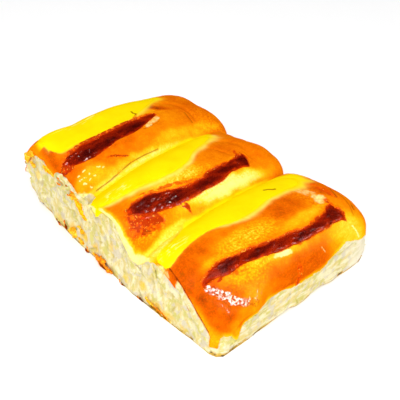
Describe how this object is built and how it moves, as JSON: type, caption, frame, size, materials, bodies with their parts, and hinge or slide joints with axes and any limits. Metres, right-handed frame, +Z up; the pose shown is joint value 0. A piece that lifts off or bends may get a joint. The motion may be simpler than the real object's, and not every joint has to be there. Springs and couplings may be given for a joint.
{
  "type": "sweet bread roll",
  "caption": "Torn-off piece of soft rolls baked side by side, each with a custard strip and a stripe of jam on its browned top.",
  "frame": {"origin": "middle of the flat base, on the surface that the piece rests on", "axes": "+X along the rolls, from the torn ends to the rounded ends; +Y across them, from the front roll to the back roll; +Z up"},
  "size_m": [0.1016, 0.1406, 0.0412],
  "materials": {
    "bread": "glazed brown crust, torn cream crumb",
    "custard": "smooth satin",
    "jam": "wet gloss"
  },
  "bodies": {
    "root": {"bread": "bread", "custard_back": "custard", "custard_middle": "custard", "custard_front": "custard", "jam_back": "jam", "jam_middle": "jam", "jam_front": "jam"}
  },
  "joints": []
}
